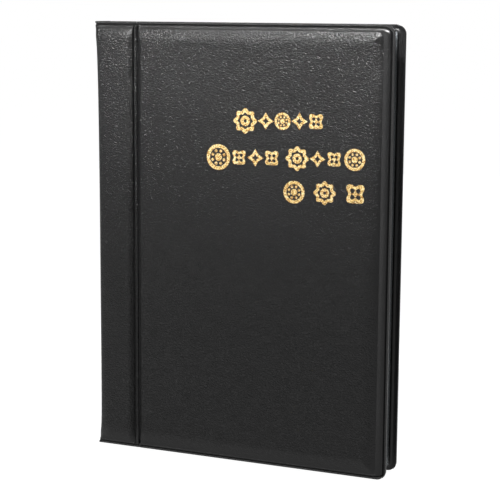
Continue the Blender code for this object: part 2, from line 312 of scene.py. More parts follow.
def grained_vinyl(name, color, roughness, grain, cell_width=1.5, cell_height=0.95):
    """Soft vinyl embossed like leather: pebbles creased along the book's width, and fine pores."""
    shader = Shader(name)
    flat = shader.flat_coordinates()
    pebbles = embossed_cells(shader, cell_width, cell_height, 0.7, 0.9, 0.22)
    small = embossed_cells(shader, 0.75, 0.50, 0.8, 0.8, 0.25)
    long_waves = warped(shader, shader.flat_coordinates((0.35, 1.4, 1.0)), 0.5, 0.6)
    creases = shader.noise(long_waves, 1.0, 4.0, 0.6)
    relief = shader.total((pebbles, 0.60), (small, 0.30), (creases, 0.65))
    relief = shader.math("MULTIPLY", relief, edge_fade(shader))
    pores = shader.noise(flat, 5.5, 3.0, 0.6)
    patches = shader.noise(flat, 0.045, 3.0, 0.55)
    tone = shader.total((patches, 0.6), (pebbles, 0.4))
    dark = [value * 0.72 for value in color]
    light = [value * 1.25 for value in color]
    # base colour with a painted highlight on the cut lip
    shader.feed("Base Color", lip_with_painted_highlight(shader, shader.ramp(tone, (0.25, dark), (0.85, light))))
    sheen = shader.total((patches, 0.5), (pores, 0.5))
    shader.feed("Roughness", shader.remap(sheen, 0.3, 0.7, roughness - 0.05, roughness + 0.07))
    shader.set(IOR=1.48, Specular_IOR_Level=0.5)
    shader.bump(shader.noise(flat, 0.11, 2.0, 0.5), 0.35 * MM, 0.5)
    shader.bump(relief, grain)
    shader.bump(pores, 0.018 * MM)
    return shader.material


def gold_foil(name, bright, deep, roughness):
    """Hot-stamped metal foil that has taken the grain under it, with speckled thin spots and painted glints.
    """
    shader = Shader(name)
    where = shader.object_coordinates()
    speckle = shader.noise(where, 2.6, 4.0, 0.75)
    cells = shader.voronoi(warped(shader, where, 1.2, 0.5), 1.9)
    spots_and_glints = shader.total((speckle, 0.7), (cells, 0.35))
    # colour: darker speckled thin spots, gold, and painted glints
    shader.feed("Base Color", shader.ramp(spots_and_glints, (0.42, deep), (0.51, bright), (0.64, GOLD_GLINT)))
    shader.feed("Roughness", shader.remap(speckle, 0.3, 0.7, roughness, roughness + 0.22))
    rubbed = shader.noise(warped(shader, where, 0.8, 0.8), 2.6, 3.0, 0.7)
    shader.feed("Alpha", shader.remap(rubbed, 0.27, 0.33, 0.0, 1.0))
    shader.set(Metallic=0.72)
    shader.bump(spots_and_glints, 0.10 * MM)
    return shader.material


def clear_film(name):
    """Soft clear vinyl: almost invisible face on, mirror-like at a slant, with calender lines.

    A metal-like surface whose alpha is its reflectance acts as a thin clear film does.
    """
    shader = Shader(name)
    flat = shader.flat_coordinates()
    facing = shader.node("ShaderNodeLayerWeight", Blend=0.35).outputs["Facing"]
    haze = shader.noise(flat, 0.09, 3.0, 0.5)
    veil = shader.remap(facing, 0.10, 0.95, 0.035, 0.50)
    shader.feed("Alpha", shader.math("ADD", veil, shader.math("MULTIPLY", haze, 0.03), clamp=True))
    shader.set(Base_Color=(0.88, 0.92, 0.94, 1.0), Metallic=0.8)
    shader.feed("Roughness", shader.remap(haze, 0.3, 0.7, 0.06, 0.16))
    shader.bump(shader.noise(shader.flat_coordinates((0.05, 0.9, 1.0)), 1.0, 2.0, 0.5), 0.05 * MM)
    return shader.material


def welded_film(name):
    """The same film where two sheets are welded: frosted by the ribbed welding bar."""
    shader = Shader(name)
    ribs = shader.node("ShaderNodeTexWave", wave_type="BANDS", bands_direction="DIAGONAL", Scale=0.55)
    shader.link(shader.flat_coordinates(), ribs.inputs["Vector"])
    haze = shader.noise(shader.flat_coordinates(), 0.6, 3.0, 0.6)
    shader.feed("Alpha", shader.remap(ribs.outputs["Fac"], 0.0, 1.0, 0.10, 0.22))
    shader.set(Base_Color=(0.88, 0.91, 0.93, 1.0), Metallic=0.8)
    shader.feed("Roughness", shader.remap(haze, 0.3, 0.7, 0.20, 0.36))
    shader.bump(ribs.outputs["Fac"], 0.06 * MM)
    return shader.material


def greyboard(name):
    """Pressed recycled board: matt, fibrous, flecked."""
    shader = Shader(name)
    fibres = shader.noise(shader.object_coordinates((0.25, 1.0, 1.6)), 1.6, 4.0, 0.65)
    flecks = shader.voronoi(shader.object_coordinates(), 0.9)
    tone = shader.total((fibres, 0.75), (flecks, 0.3))
    shader.feed("Base Color", shader.ramp(tone, (0.30, (0.23, 0.21, 0.18)), (0.75, (0.44, 0.42, 0.38))))
    shader.set(Roughness=0.92)
    shader.bump(fibres, 0.08 * MM)
    return shader.material


def foam(name):
    """Open-cell foam, cream coloured."""
    shader = Shader(name)
    cells = shader.voronoi(shader.object_coordinates(), 2.2)
    shader.feed("Base Color", shader.ramp(cells, (0.1, (0.55, 0.52, 0.44)), (0.7, (0.80, 0.78, 0.70))))
    shader.set(Roughness=0.97)
    shader.bump(cells, 0.25 * MM)
    return shader.material


def plated_steel(name):
    """Lightly brushed plated rivet metal."""
    shader = Shader(name)
    brushed = shader.noise(shader.object_coordinates((1.0, 9.0, 1.0)), 1.5, 3.0, 0.6)
    shader.feed("Base Color", shader.ramp(brushed, (0.3, (0.48, 0.46, 0.42)), (0.7, (0.72, 0.70, 0.66))))
    shader.feed("Roughness", shader.remap(brushed, 0.3, 0.7, 0.22, 0.42))
    shader.set(Metallic=1.0)
    shader.bump(brushed, 0.03 * MM)
    return shader.material


def pale_floor(name):
    """A matt floor: white for the camera, dimmer as the album sees it, most of all near the album."""
    shader = Shader(name)
    shader.set(Base_Color=(0.25, 0.25, 0.25, 1.0), Roughness=0.85, Specular_IOR_Level=0.0)
    shader.set(Emission_Color=(1.0, 1.0, 1.0, 1.0))
    where = shader.node("ShaderNodeTexCoord").outputs["Object"]
    reach = shader.node("ShaderNodeVectorMath", operation="LENGTH")
    shader.link(where, reach.inputs[0])
    near_dim = shader.remap(reach.outputs["Value"], 0.04, 0.40, FLOOR_SHADE, FLOOR_LIGHT)
    parts = shader.node("ShaderNodeSeparateXYZ")
    shader.link(where, parts.inputs["Vector"])
    side_dim = shader.remap(parts.outputs["X"], 0.05, 0.50, 1.0, FLOOR_DARK_SIDE)
    path = shader.node("ShaderNodeLightPath").outputs["Is Camera Ray"]
    shown = shader.math("MULTIPLY", path, FLOOR_SEEN)
    dimmed = shader.math("MULTIPLY", near_dim, side_dim)
    unseen = shader.math("MULTIPLY", shader.math("SUBTRACT", 1.0, path), dimmed)
    shader.feed("Emission Strength", shader.math("ADD", shown, unseen))
    return shader.material


# ------------------------------------------------------------
# Surfaces made on a grid
# ------------------------------------------------------------
def spaced(start, *spans):
    """Positions from start on; each span is (end, spacing) in millimetres."""
    values = [start]
    for end, spacing in spans:
        count = max(1, round((end - values[-1]) / spacing))
        values.extend(np.linspace(values[-1], end, count + 1)[1:])
    return np.array(values) * MM


def smooth_noise(across, up, seed, wavelengths, count=9):
    """A gentle, repeatable unevenness between about -1 and 1, made of crossing waves."""
    chance = np.random.default_rng(seed)
    total = np.zeros(np.broadcast(across, up).shape)
    for _ in range(count):
        wavelength = chance.uniform(*wavelengths)
        angle = chance.uniform(0, 2 * math.pi)
        phase = chance.uniform(0, 2 * math.pi)
        along = across * math.cos(angle) + up * math.sin(angle)
        total += np.sin(2 * math.pi * along / wavelength + phase)
    return total / math.sqrt(count) / 1.6


def rolled_edge(share, straight=0.40):
    """Rise from 0 to 1 like a padded edge: a straight slope, then an easing to level."""
    share = np.clip(share, 0.0, 1.0)
    slope = 2.0 / (1.0 + straight)
    eased = np.clip(share - straight, 0.0, 1.0)
    return slope * (share - eased * eased / (2.0 * (1.0 - straight)))


def hump(value, low, high):
    """A smooth hump between two values, 0 outside them."""
    share = np.clip((value - low) / (high - low), 0.0, 1.0)
    return np.sin(math.pi * share) ** 1.3


def crease(value, at, half_width):
    """A narrow V that is 1 at its bottom."""
    return np.clip(1.0 - np.abs(value - at) / half_width, 0.0, 1.0)


def round_fore_corners(across, up):
    """Squeeze the square outer corners at the fore edge into round ones."""
    across, up = across.copy(), up.copy()
    radius = CORNER_RADIUS
    for edge, inward in ((0.0, 1.0), (HEIGHT, -1.0)):
        a = (across - (WIDTH - radius)) / radius
        b = (edge + inward * radius - up) * inward / radius
        corner = (a > 0) & (b > 0)
        new_a = a * np.sqrt(1 - b * b / 2, where=corner, out=np.ones_like(a))
        new_b = b * np.sqrt(1 - a * a / 2, where=corner, out=np.ones_like(b))
        across = np.where(corner, WIDTH - radius + new_a * radius, across)
        up = np.where(corner, edge + inward * (radius - new_b * radius), up)
    return across, up


def grid_normals(points):
    """Unit normals of a grid of points."""
    along_rows = np.gradient(points, axis=0)
    along_columns = np.gradient(points, axis=1)
    normals = np.cross(along_columns, along_rows)
    length = np.linalg.norm(normals, axis=2, keepdims=True)
    return normals / np.maximum(length, 1e-12)


def sheet_mesh(name, points, flat, thickness, holes=None):
    """A closed sheet: the grid of points, a copy of it set back by its thickness, and its edges.

    The grid's normals point to the side that shows. holes marks the quads that are left open.
    """
    rows, columns = points.shape[:2]
    back = points - grid_normals(points) * thickness
    vertices = np.concatenate((points.reshape(-1, 3), back.reshape(-1, 3)))
    index = np.arange(rows * columns).reshape(rows, columns)
    solid = np.ones((rows - 1, columns - 1), bool) if holes is None else ~holes
    quads = np.stack((index[:-1, :-1], index[:-1, 1:], index[1:, 1:], index[1:, :-1]), axis=-1)[solid]
    faces = [quads, quads[:, ::-1] + rows * columns, edge_walls(index, solid, rows * columns)]
    faces = np.concatenate(faces)
    mesh = bpy.data.meshes.new(name)
    mesh.from_pydata(vertices.tolist(), [], faces.tolist())
    layer = mesh.uv_layers.new(name="flat")
    both = np.concatenate((flat.reshape(-1, 2), flat.reshape(-1, 2))) / MM
    layer.data.foreach_set("uv", both[corner_vertices(mesh)].astype(np.float32).ravel())
    mesh.shade_smooth()
    mesh.set_sharp_from_angle(angle=SHARP_EDGE)
    drop_loose_vertices(mesh)
    return mesh


def corner_vertices(mesh):
    """The vertex at each corner of each face."""
    corners = np.empty(len(mesh.loops), np.int32)
    mesh.loops.foreach_get("vertex_index", corners)
    return corners


def edge_walls(index, solid, back):
    """Quads that close a sheet along its outline and round its holes."""
    padded = np.pad(solid, 1).astype(int)
    along_rows = (padded[:-1, 1:-1] - padded[1:, 1:-1], index[:, :-1], index[:, 1:])
    along_columns = (padded[1:-1, 1:] - padded[1:-1, :-1], index[:-1], index[1:])
    walls = []
    for change, start, end in (along_rows, along_columns):
        for sign, first, second in ((1, start, end), (-1, end, start)):
            a, b = first[change == sign], second[change == sign]
            walls.append(np.stack((a, b, b + back, a + back), axis=-1))
    return np.concatenate(walls)


def drop_loose_vertices(mesh):
    """Remove the vertices that no face uses."""
    used = np.zeros(len(mesh.vertices), bool)
    used[corner_vertices(mesh)] = True
    if used.all():
        return
    builder = bmesh.new()
    builder.from_mesh(mesh)
    bmesh.ops.delete(builder, geom=[v for v in builder.verts if not v.link_faces], context="VERTS")
    builder.to_mesh(mesh)
    builder.free()


def add_piece(name, mesh, material):
    """Link a finished mesh to the scene as a piece."""
    mesh.materials.append(material)
    obj = bpy.data.objects.new(name, mesh)
    bpy.context.scene.collection.objects.link(obj)
    return obj


# ------------------------------------------------------------
# The vinyl case
# ------------------------------------------------------------
def case_columns():
    """Where the grid's columns lie round the case: spine flat, spine corner, then across."""
    flat_share = np.linspace(0.0, 1.0, 7)[:-1]
    corner = np.linspace(math.pi, math.pi / 2, 14)[:-1]
    groove_left, groove_right = GROOVE_LEFT / MM, GROOVE_RIGHT / MM
    across = spaced(
        SPINE_RADIUS / MM, (groove_left - 3.0, 0.7), (groove_left - 0.3, 0.22), (groove_right + 0.4, 0.11),
        (groove_right + 3.0, 0.26), (groove_right + 9.0, 0.6), (112.0, 1.5), (121.0, 0.6),
        (WIDTH / MM - 4.6, 0.35), (WIDTH / MM, 0.18),
    )
    return flat_share, corner, across


def case_rows():
    """Where the grid's rows lie, fine across the welded borders."""
    half = spaced(0.0, (4.6, 0.18), (8.0, 0.4), (14.0, 0.75), (HEIGHT / MM / 2, 1.6))
    return np.concatenate((half, HEIGHT - half[-2::-1]))


def squeezed(distance, border):
    """Distance from an edge with a border of its own width, as if that border were BORDER wide.

    The welded line stays where it is; only the band inside it grows or shrinks.
    """
    band = np.clip(distance - WELD_LINE, 0.0, border - WELD_LINE)
    return distance + band * (BORDER - border) / (border - WELD_LINE)


def from_edges(across, up):
    """Distances from the fore edge, the lower edge and the upper edge, on one scale."""
    return squeezed(WIDTH - across, FORE_BORDER), squeezed(up, LOWER_BORDER), HEIGHT - up


def within_edges(fore, lower, upper, hinge, border, radius):
    """Distance inwards from an outline that lies a border inside the edges; negative outside."""
    sides = np.stack(np.broadcast_arrays(fore - border, hinge))
    ends = np.stack(np.broadcast_arrays(lower - border, upper - border))
    side, end = radius - sides.min(axis=0), radius - ends.min(axis=0)
    outside = np.hypot(np.maximum(side, 0.0), np.maximum(end, 0.0))
    return radius - outside - np.minimum(np.maximum(side, end), 0.0)


def border_relief(distance):
    """Height of the welded border over its flange, by distance from the case's edge."""
    rise = np.clip((distance - WELD_LINE) / (BORDER - WELD_LINE), 0.0, 1.0)
    crown = 0.16 * MM * hump(distance, WELD_LINE + 0.1 * MM, BORDER)
    line = 0.62 * MM * crease(distance, WELD_LINE, 0.30 * MM)
    end_line = 0.04 * MM * crease(distance, BORDER, 0.20 * MM)
    return BEAD_HEIGHT * rise + crown - line - end_line


def puckers(along, inwards, seed):
    """Small gathers beside a weld."""
    wave = smooth_noise(along, 0.0 * along, seed, (2.5 * MM, 7.0 * MM), 7)
    return 0.035 * MM * wave * hump(inwards, 0.2 * MM, 5.0 * MM)


def edge_lean(lower, upper):
    """The welded border leans inwards at the upper edge and kicks outwards at the lower one."""
    high = np.clip(1.0 - upper / BORDER, 0.0, 1.0)
    low = np.clip(1.0 - lower / BORDER, 0.0, 1.0)
    return 0.30 * MM * low - 0.55 * MM * high


def strip_waves(across, up, seed):
    """The strip's soft hollows and swellings, long in height and short across."""
    wave = smooth_noise(across * 5.0, up * 0.8, seed + 7, (38 * MM, 75 * MM))
    return 0.13 * MM * wave * hump(across, 2.0 * MM, GROOVE_LEFT)


def groove_relief(across, up):
    """Depth of the hinge groove: two creases with the weld ridge between them, softer low down."""
    middle = (GROOVE_LEFT + GROOVE_RIGHT) / 2
    sharp = 0.30 + 0.70 * np.clip((up - 88 * MM) / (45 * MM), 0.0, 1.0)
    near = 0.78 * MM * crease(across, GROOVE_LEFT + 0.15 * MM, 0.40 * MM) * sharp
    far = 1.00 * MM * crease(across, GROOVE_RIGHT - 0.10 * MM, 0.50 * MM)
    weld = 0.42 * MM * hump(across, middle - 0.85 * MM, middle + 0.50 * MM) * sharp
    valley = 0.22 * MM * hump(across, GROOVE_LEFT - 0.6 * MM, GROOVE_RIGHT + 1.2 * MM) * (1.0 - sharp)
    return weld - near - far - valley


def skin_out(across, up, seed):
    """How far out the skin lies on the strip, the groove and the cover."""
    fore, lower, upper = from_edges(across, up)
    from_end = np.minimum(lower, upper)
    hinge = HINGE_STEEPNESS * (across - GROOVE_RIGHT)
    inwards = within_edges(fore, lower, upper, hinge, BORDER, PANEL_RADIUS)
    case_edge = within_edges(fore, lower, upper, WIDTH, 0.0, CORNER_RADIUS)
    on_strip = across < GROOVE_LEFT + 0.1 * MM
    on_cover = across > GROOVE_RIGHT
    border = border_relief(np.where(on_cover, case_edge, from_end))
    border *= np.clip((np.where(on_cover, across - GROOVE_RIGHT, from_end) + 0.4 * MM) / (0.8 * MM), 0.0, 1.0)
    swell = 1.0 + 0.035 * smooth_noise(across, up, seed, (38 * MM, 90 * MM))
    panel = (PANEL_OUT - FLANGE_OUT - BEAD_HEIGHT) * rolled_edge(inwards / PANEL_ROLL)
    panel = panel * swell + puckers(across + 1.7 * up, inwards, seed + 1)
    strip_share = rolled_edge((from_end - BORDER) / STRIP_ROLL)
    strip_share = strip_share * rolled_edge((GROOVE_LEFT + 0.1 * MM - across) / (2.6 * MM))
    strip_share = strip_share * (0.40 + 0.60 * rolled_edge((across - 0.5 * MM) / (5.0 * MM)))
    strip = (STRIP_OUT + STRIP_SWELL - FLANGE_OUT - BEAD_HEIGHT + strip_waves(across, up, seed)) * strip_share
    relief = np.where(on_strip, strip, np.where(on_cover & (inwards > 0), panel, 0.0))
    groove_share = np.clip((from_end - 0.9 * MM) / (1.2 * MM), 0.25, 1.0)
    border = border + edge_lean(lower, upper)
    return FLANGE_OUT + border + relief + groove_relief(across, up) * groove_share


def spine_edge(up):
    """How far across the spine stands at a height: it flares at its ends, most of all at the top."""
    from_top = HEIGHT - up
    lower_flare = 1.5 * MM * np.exp(-up / (4.5 * MM))
    upper_flare = 1.0 * MM * np.exp(-from_top / (5.0 * MM)) + 1.1 * MM * np.exp(-from_top / (28.0 * MM))
    return 0.74 * MM - lower_flare - upper_flare


def spine_radius(up):
    """Radius of the skin's turn round the spine; it is tighter at the welded ends."""
    from_end = np.minimum(up, HEIGHT - up)
    share = np.clip(from_end / (9.0 * MM), 0.0, 1.0)
    return SPINE_END_RADIUS + (SPINE_RADIUS - SPINE_END_RADIUS) * share * (2.0 - share)


def case_points(side, surface, spine_at, radius_at):
    """Grid of points round one half of the case, and its unrolled coordinates.

    surface(across, up) is how far out the sheet lies; at a height it turns round the spine
    at spine_at(up), with the radius radius_at(up).
    """
    flat_share, corner, across = case_columns()
    rows = case_rows()
    up = rows[:, None]
    spine, radius = spine_at(up), radius_at(up)
    edge_out = surface(np.full_like(up, across[0]), up)
    flat_out = flat_share[None, :] * (edge_out - radius)
    flat_across = np.broadcast_to(spine, flat_out.shape)
    arc_across = spine + radius * (1 + np.cos(corner))[None, :]
    arc_out = edge_out - radius + radius * np.sin(corner)[None, :]
    fade = np.clip((GROOVE_LEFT - across) / (GROOVE_LEFT - across[0]), 0.0, 1.0)[None, :]
    face_across = across[None, :] + (spine + radius - across[0]) * fade
    face_up = np.broadcast_to(up, face_across.shape)
    face_across, face_up = round_fore_corners(face_across, face_up)
    face_out = surface(face_across, face_up)
    all_across = np.concatenate((flat_across, arc_across, face_across), axis=1)
    all_out = np.concatenate((flat_out, arc_out, face_out), axis=1)
    left_up = np.broadcast_to(up, (len(rows), len(flat_share) + len(corner)))
    all_up = np.concatenate((left_up, face_up), axis=1)
    points = np.stack((to_x(all_across), -side * all_out, all_up), axis=-1)
    middle = len(rows) // 2
    steps = np.hypot(np.diff(all_across[middle]), np.diff(all_out[middle]))
    girth = np.concatenate(([0.0], np.cumsum(steps)))
    girth *= CASE_GIRTH / girth[-1]
    flat = np.stack(np.broadcast_arrays(side * girth[None, :], all_up), axis=-1)
    return points, flat


def make_skin(label, side, material):
    """The outer sheet of one half of the case, from the middle of the spine to the fore edge."""
    seed = SKIN_SEEDS[side]
    points, flat = case_points(side, lambda across, up: skin_out(across, up, seed), spine_edge, spine_radius)
    if side == BACK:
        points, flat = points[::-1], flat[::-1]
    name = f"{label}_case_skin"
    obj = add_piece(name, sheet_mesh(name, points, flat, SKIN_THICKNESS), material)
    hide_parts("spine_skin", f"{label}_hinge_web", f"{label}_cover_skin")
    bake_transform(obj)


def lining_out(across, up):
    """How far out the inner face of the lining lies; it sinks inwards over the boards."""
    from_end = np.minimum(up, HEIGHT - up)
    fore, upper = WIDTH - across, HEIGHT - up
    hinge = across - GROOVE_RIGHT - 1.2 * MM
    cover = within_edges(fore, up, upper, hinge, LINING_BORDER, 2.2 * MM)
    cover_share = np.clip(cover / (1.2 * MM), 0.0, 1.0)
    cover_share = cover_share ** 2 * (3 - 2 * cover_share)
    strip_share = np.clip((from_end - LINING_BORDER) / (1.0 * MM), 0.0, 1.0)
    strip_share = strip_share * np.clip((GROOVE_LEFT - 0.2 * MM - across) / (1.2 * MM), 0.0, 1.0)
    depth = np.where(across > GROOVE_RIGHT, (LINING_FLANGE_OUT - LINING_PANEL_OUT) * cover_share,
                     (LINING_FLANGE_OUT - LINING_STRIP_OUT) * strip_share)
    case_edge = np.minimum(within_edges(fore, up, upper, WIDTH, 0.0, CORNER_RADIUS), from_end)
    bead = 0.46 * MM * hump(case_edge, 1.5 * MM, 3.6 * MM) * (1.0 - np.maximum(cover_share, strip_share))
    lean = edge_lean(squeezed(up, LOWER_BORDER), HEIGHT - up)
    return LINING_FLANGE_OUT + lean - depth - bead - 0.5 * groove_relief(across, up)


def lining_spine(up):
    """Where the lining turns at the spine: under the skin at the ends, behind the board between."""
    from_end = np.minimum(up, HEIGHT - up)
    share = np.clip((from_end - 4.0 * MM) / (1.0 * MM), 0.0, 1.0)
    at_end = spine_edge(up) + SKIN_THICKNESS + LINING_THICKNESS + 0.02 * MM
    return at_end + (LINING_SPINE - at_end) * share


def lining_radius(up):
    """Radius of the lining's turn round the spine."""
    return np.full_like(up, 1.0 * MM)


def make_lining(label, side, material):
    """The inner sheet of one half of the case."""
    points, flat = case_points(side, lining_out, lining_spine, lining_radius)
    if side == FRONT:
        points, flat = points[::-1], flat[::-1]
    name = f"{label}_case_lining"
    obj = add_piece(name, sheet_mesh(name, points, flat, LINING_THICKNESS), material)
    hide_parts("spine_lining", f"{label}_cover_lining")
    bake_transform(obj)


# ------------------------------------------------------------
# Clear pages
# ------------------------------------------------------------
PAGE_LOW, PAGE_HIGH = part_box("page_01_backing")
PAGE_LEFT = PAGE_LOW.x - CAD_LOW.x
PAGE_RIGHT = PAGE_HIGH.x - CAD_LOW.x
MARGIN_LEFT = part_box("page_01_margin")[0].x - CAD_LOW.x
POCKET_COLUMNS = 3
POCKET_ROWS = 4
POCKET_WIDTH = (PAGE_RIGHT - PAGE_LEFT) / POCKET_COLUMNS
POCKET_HEIGHT = (PAGE_HIGH.z - PAGE_LOW.z) / POCKET_ROWS
WELD_HALF = 0.9 * MM
MOUTH_TOP = 3.0 * MM         # a pocket's mouth lies between these distances from the pocket's top
MOUTH_LOW = 6.0 * MM
MOUTH_SIDE = 3.6 * MM        # and this far in from its sides
FILM = 0.13 * MM
FILM_SET_APART = 0.12 * MM   # the two films lie this far before and behind the page's middle


def page_rows():
    """Heights of the page grids, with lines on both sides of every weld and mouth."""
    weld, mouth_low, mouth_top = WELD_HALF / MM, MOUTH_LOW / MM, MOUTH_TOP / MM
    lines = []
    for row in range(POCKET_ROWS):
        base = (PAGE_LOW.z + row * POCKET_HEIGHT) / MM
        top = base + POCKET_HEIGHT / MM
        lines.append(spaced(base, (base + weld, 0.45), (top - 8.0, 2.2), (top - mouth_low, 0.5),
                            (top - mouth_top, 0.6), (top - weld, 0.7)))
    lines.append(np.array([PAGE_HIGH.z]))
    return np.concatenate(lines)


def page_columns():
    """Distances across of the pocket grid, with lines on both sides of every weld."""
    weld, mouth_side = WELD_HALF / MM, MOUTH_SIDE / MM
    lines = []
    for column in range(POCKET_COLUMNS):
        base = (PAGE_LEFT + column * POCKET_WIDTH) / MM
        edge = base + POCKET_WIDTH / MM
        lines.append(spaced(base, (base + weld, 0.45), (base + mouth_side, 0.9), (edge - mouth_side, 2.0),
                            (edge - weld, 0.9)))
    lines.append(np.array([PAGE_RIGHT]))
    return np.concatenate(lines)


def within_pocket(across, up):
    """Distance inwards from a pocket's weld, 0 on the weld."""
    from_x = np.mod(across - PAGE_LEFT, POCKET_WIDTH)
    from_z = np.mod(up - PAGE_LOW.z, POCKET_HEIGHT)
    from_side = np.minimum(from_x, POCKET_WIDTH - from_x)
    near = np.minimum(from_side, np.minimum(from_z, POCKET_HEIGHT - from_z))
    return np.maximum(near - WELD_HALF, 0.0)


def page_out(number):
    """How far out a page's middle plane lies."""
    low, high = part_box(f"page_{number:02d}_margin")
    return -(low.y + high.y) / 2


def make_page_film(number, material):
    """The backing film with its margin, one sheet from the binding to the fore edge."""
    name = f"page_{number:02d}_sheet"
    columns = np.concatenate((
        spaced(MARGIN_LEFT / MM, (16.0, 2.5), (26.0, 0.35), (PAGE_LEFT / MM + 6.0, 1.2))[:-1],
        np.linspace(PAGE_LEFT + 6.0 * MM, PAGE_RIGHT, 34),
    ))
    rows = np.linspace(PAGE_LOW.z, PAGE_HIGH.z, 60)
    across, up = np.meshgrid(columns, rows)
    set_back = np.clip((across - MARGIN_LEFT) / (PAGE_LEFT - MARGIN_LEFT), 0.0, 1.0)
    wave = smooth_noise(across, up, 100 + number, (45 * MM, 110 * MM), 5)
    out = page_out(number) - FILM_SET_APART * set_back + 0.035 * MM * wave * set_back
    points = np.stack((to_x(across), -out, up), axis=-1)
    flat = np.stack((across, up), axis=-1)
    obj = add_piece(name, sheet_mesh(name, points, flat, FILM), material)
    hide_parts(f"page_{number:02d}_margin", f"page_{number:02d}_backing")
    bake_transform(obj)


def make_page_pockets(number, film, weld):
    """The pocket film: swollen a little between its welds, with a mouth near the top of each pocket."""
    name = f"page_{number:02d}_pocket_film"
    columns, rows = page_columns(), page_rows()
    across, up = np.meshgrid(columns, rows)
    inwards = within_pocket(across, up)
    puff = 0.11 * MM * rolled_edge(inwards / (7.0 * MM))
    out = page_out(number) + FILM_SET_APART + puff
    points = np.stack((to_x(across), -out, up), axis=-1)
    flat = np.stack((across, up), axis=-1)
    middle_across = (across[:-1, :-1] + across[1:, 1:]) / 2
    middle_up = (up[:-1, :-1] + up[1:, 1:]) / 2
    below_top = POCKET_HEIGHT - np.mod(middle_up - PAGE_LOW.z, POCKET_HEIGHT)
    from_side = np.mod(middle_across - PAGE_LEFT, POCKET_WIDTH)
    from_side = np.minimum(from_side, POCKET_WIDTH - from_side)
    holes = (below_top > MOUTH_TOP) & (below_top < MOUTH_LOW) & (from_side > MOUTH_SIDE)
    mesh = sheet_mesh(name, points, flat, FILM, holes)
    obj = add_piece(name, mesh, film)
    mesh.materials.append(weld)
    frost_welds(mesh)
    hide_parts(f"page_{number:02d}_pockets")
    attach(obj, f"page_{number:02d}")


def frost_welds(mesh):
    """Give the second material to the faces that lie on a weld."""
    for polygon in mesh.polygons:
        centre = polygon.center
        if within_pocket(centre.x - CAD_LOW.x, centre.z) < 0.05 * MM:
            polygon.material_index = 1


# ------------------------------------------------------------
# Gold foil ornament on the front panel
# ------------------------------------------------------------
def ring_points(radius, count=40, lobes=0, depth=0.0, turn=0.0):
    """A closed outline whose radius rises and falls a whole number of times."""
    points = []
    for step in range(count):
        angle = 2 * math.pi * step / count
        reach = radius * (1 + depth * math.cos(lobes * angle))
        points.append((reach * math.cos(angle + turn), reach * math.sin(angle + turn)))
    return points


def star_points(outer, inner, tips, turn=math.pi / 2):
    """A star's outline."""
    points = []
    for step in range(2 * tips):
        radius = outer if step % 2 == 0 else inner
        angle = turn + math.pi * step / tips
        points.append((radius * math.cos(angle), radius * math.sin(angle)))
    return points


def coin_motif(size):
    """A coin: a rim, a ring of dots and a centre dot."""
    radius = size / 2
    shapes = [ring_points(radius), ring_points(radius * 0.76), ring_points(radius * 0.28, 20)]
    for step in range(8):
        angle = 2 * math.pi * (step + 0.5) / 8
        dot = [(x + radius * 0.53 * math.cos(angle), y + radius * 0.53 * math.sin(angle))
               for x, y in ring_points(radius * 0.10, 8)]
        shapes.append(dot)
    return shapes


def lozenge_motif(size):
    """A lozenge with drawn-in sides and an open centre."""
    half = size / 2
    return [star_points(half, half * 0.54, 4), star_points(half * 0.52, half * 0.28, 4)]


def rosette_motif(size):
    """An eight-lobed rosette with an open ring and a centre dot."""
    radius = size / 2
    return [
        ring_points(radius * 0.88, 64, 8, 0.12),
        ring_points(radius * 0.62, 64, 8, 0.10),
        ring_points(radius * 0.38, 32),
        ring_points(radius * 0.16, 16),
    ]


def knot_motif(size):
    """A four-lobed quatrefoil band."""
    radius = size / 2
    return [
        ring_points(radius * 0.80, 64, 4, 0.25, math.pi / 4),
        ring_points(radius * 0.50, 64, 4, 0.25, math.pi / 4),
        star_points(radius * 0.30, radius * 0.15, 4),
    ]


MOTIFS = {"coin": coin_motif, "lozenge": lozenge_motif, "rosette": rosette_motif, "knot": knot_motif}

# Each row: the height of its middle at its left end, then (motif, distance across, size) in millimetres
FOIL_ROWS = {
    "upper": (141.4, (("rosette", 68.9, 10.2), ("lozenge", 77.8, 6.4), ("coin", 85.0, 6.6),
                      ("lozenge", 92.2, 6.4), ("knot", 99.2, 7.2))),
    "middle": (126.4, (("coin", 57.2, 10.2), ("knot", 66.3, 7.0), ("lozenge", 73.4, 6.6), ("knot", 80.5, 7.0),
                       ("rosette", 91.4, 9.8), ("lozenge", 100.0, 6.2), ("knot", 107.0, 6.8),
                       ("coin", 115.5, 8.4))),
    "lower": (113.9, (("coin", 90.2, 8.8), ("rosette", 103.2, 9.4), ("knot", 116.0, 9.2))),
}
FOIL_TILT = math.radians(1.5)
FOIL_LIFT = 0.035 * MM
FOIL_THICKNESS = 0.05 * MM
RIM_WIDTH = 0.15 * MM        # the darker rim, painted shade, stands out this far round the gold
RIM_SET_BACK = 0.025 * MM    # and lies this far under it
FOIL_CUT = 1.2 * MM          # spacing of the cuts that let the flat shapes follow the skin


def foil_mesh(name, row_height, motifs, grow, lift):
    """The flat shapes of one row, laid on the skin."""
    curve = bpy.data.curves.new(name, "CURVE")
    curve.dimensions = "2D"
    curve.fill_mode = "BOTH"
    curve.extrude = FOIL_THICKNESS / 2
    curve.offset = grow
    start = motifs[0][1]
    for kind, centre, size in motifs:
        rise = (centre - start) * math.tan(FOIL_TILT)
        for outline in MOTIFS[kind](size * MM):
            spline = curve.splines.new("POLY")
            spline.points.add(len(outline) - 1)
            for point, (x, y) in zip(spline.points, outline):
                point.co = (x + centre * MM, y + (row_height + rise) * MM, 0.0, 1.0)
            spline.use_cyclic_u = True
    carrier = bpy.data.objects.new(name + "_outline", curve)
    bpy.context.scene.collection.objects.link(carrier)
    evaluated = carrier.evaluated_get(bpy.context.evaluated_depsgraph_get())
    mesh = bpy.data.meshes.new_from_object(evaluated)
    mesh.name = name
    bpy.data.objects.remove(carrier)
    cut_fine(mesh, FOIL_CUT)
    lay_on_skin(mesh, lift)
    return mesh


